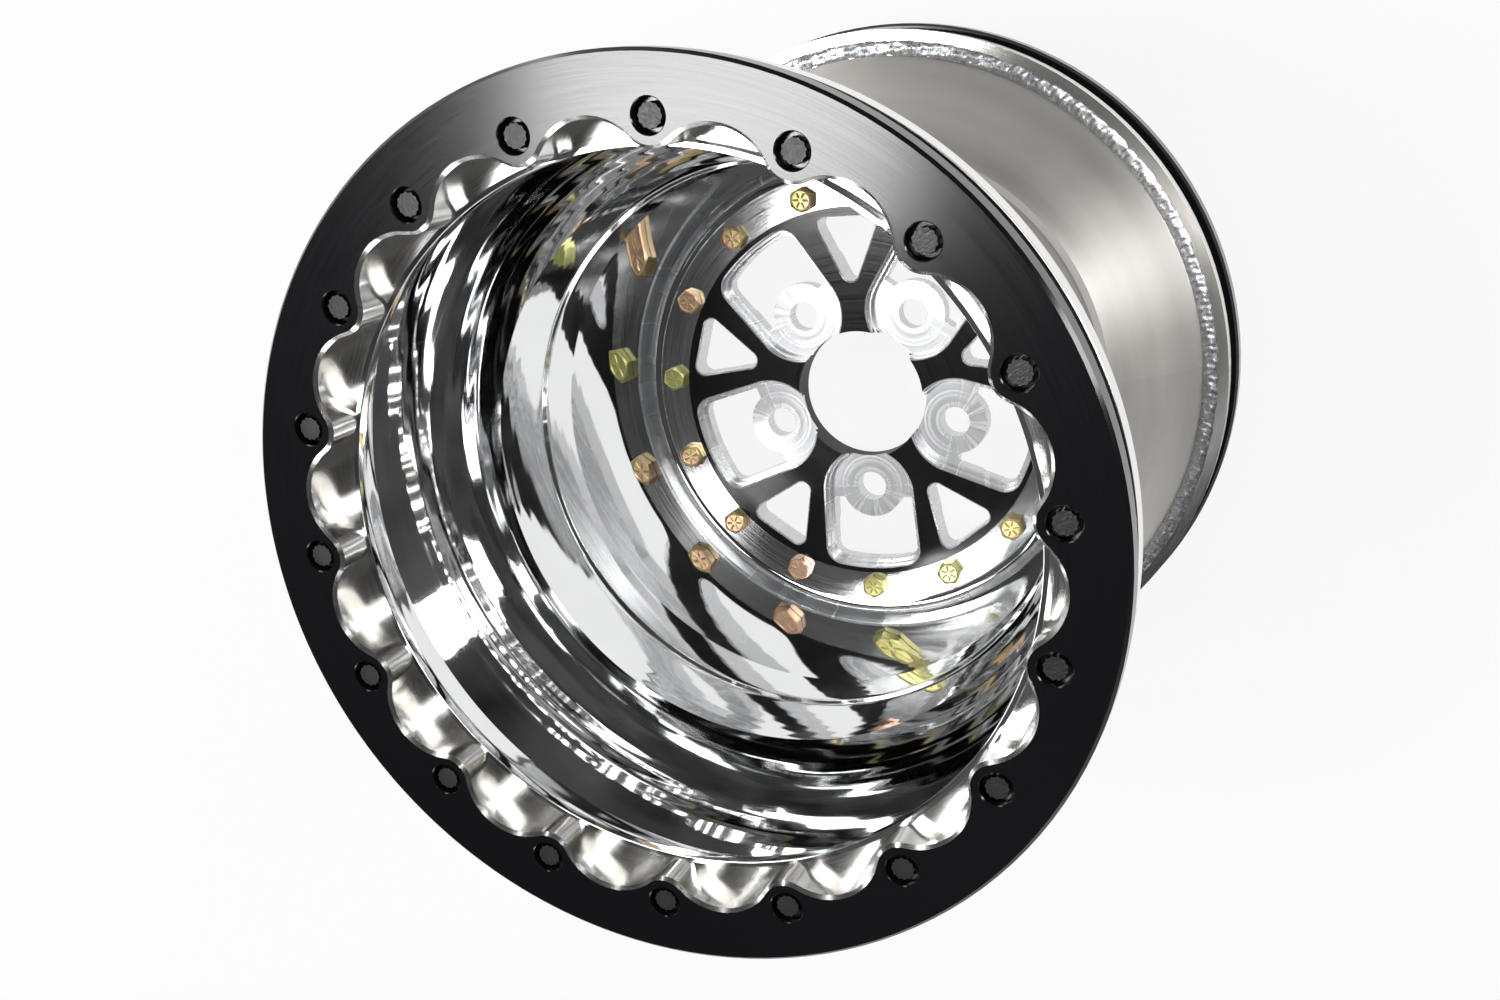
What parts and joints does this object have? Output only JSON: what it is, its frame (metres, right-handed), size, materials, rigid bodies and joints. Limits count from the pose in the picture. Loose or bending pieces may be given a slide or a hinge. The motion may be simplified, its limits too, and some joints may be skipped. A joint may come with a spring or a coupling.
{
  "type": "drag racing wheel",
  "caption": "Deep-dish racing wheel with a bolted machined center and scalloped bead clamp rings at both bead seats, to carry a tubeless drag tyre on a lug-bolt hub.",
  "frame": {"origin": "centre of the lug circle on the hub mounting face", "axes": "+Z along the wheel's axis towards the front clamp ring, with one lug hole on -Y; the wheel lies on its rear clamp ring"},
  "size_m": [0.4113, 0.4114, 0.381],
  "materials": {
    "black_anodised": "satin black anodised",
    "polished": "mirror polished",
    "machined_center": "black anodised face with bare machined windows",
    "spun": "matte as spun",
    "yellow_zinc": "yellow zinc plated",
    "plain_zinc": "clear zinc plated",
    "black_oxide": "black oxide",
    "sealant": "cured sealant"
  },
  "bodies": {
    "root": {"front_clamp_ring": "black_anodised", "front_clamp_bolts": "black_oxide", "outer_rim_half": "polished", "joint_seal": "sealant", "wheel_center": "machined_center", "center_bolts": "yellow_zinc", "center_washers": "plain_zinc", "center_nuts": "plain_zinc", "inner_rim_half": "spun", "rear_clamp_ring": "black_anodised", "rear_clamp_bolts": "black_oxide"}
  },
  "joints": []
}
